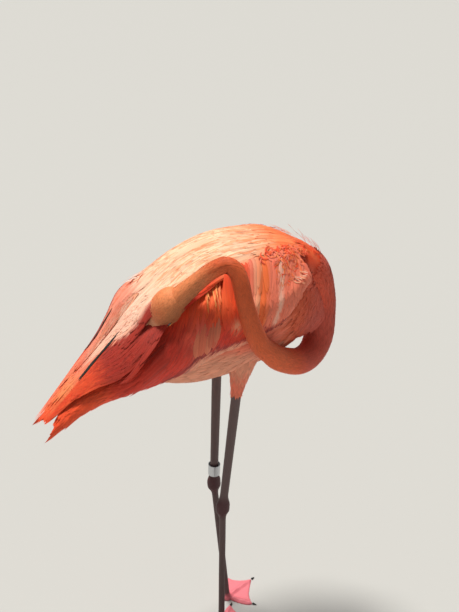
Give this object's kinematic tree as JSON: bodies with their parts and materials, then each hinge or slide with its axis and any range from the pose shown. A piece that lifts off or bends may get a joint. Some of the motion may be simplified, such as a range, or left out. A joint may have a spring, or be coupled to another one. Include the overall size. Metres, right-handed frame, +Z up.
{
  "type": "flamingo",
  "caption": "Still, life-size flamingo standing and preening, its neck looped down and back along its side and its head laid on its wing.",
  "frame": {"origin": "on the ground under the middle of the bounding box", "axes": "+X the way the body faces, +Y the bird's left, +Z up"},
  "size_m": [0.5594, 0.2591, 0.8758],
  "materials": {
    "body_plumage": "soft contour feathers, salmon pink",
    "wing_plumage": "wing coverts, flame orange",
    "back_plumage": "long back plumes, pale peach",
    "neck_plumage": "short dense feathers, orange",
    "leg_skin": "scaled leg skin, grey mauve",
    "leg_joint": "scaled joint skin, dark maroon",
    "web": "webbed foot skin, pink",
    "bill": "horn, pale with a black tip",
    "claw": "dark horn",
    "eye": "wet, pale yellow iris",
    "ring_metal": "plain satin band"
  },
  "bodies": {
    "root": {"trunk": "body_plumage", "tail": "body_plumage", "neck_1": "neck_plumage", "neck_2": "neck_plumage", "neck_3": "neck_plumage", "neck_4": "neck_plumage", "neck_5": "neck_plumage", "head": "neck_plumage", "bill_upper": "bill", "bill_lower": "bill", "eye_right": "eye", "wing_right": "wing_plumage", "scapulars_right": "back_plumage", "thigh_right": "body_plumage", "shank_right": "leg_skin", "ankle_right": "leg_joint", "tarsus_right": "leg_skin", "foot_right": "web", "claw_inner_right": "claw", "claw_middle_right": "claw", "claw_outer_right": "claw", "claw_hind_right": "claw", "eye_left": "eye", "wing_left": "wing_plumage", "scapulars_left": "back_plumage", "thigh_left": "body_plumage", "shank_left": "leg_skin", "ankle_left": "leg_joint", "tarsus_left": "leg_skin", "foot_left": "web", "claw_inner_left": "claw", "claw_middle_left": "claw", "claw_outer_left": "claw", "claw_hind_left": "claw", "leg_ring": "ring_metal"}
  },
  "joints": []
}
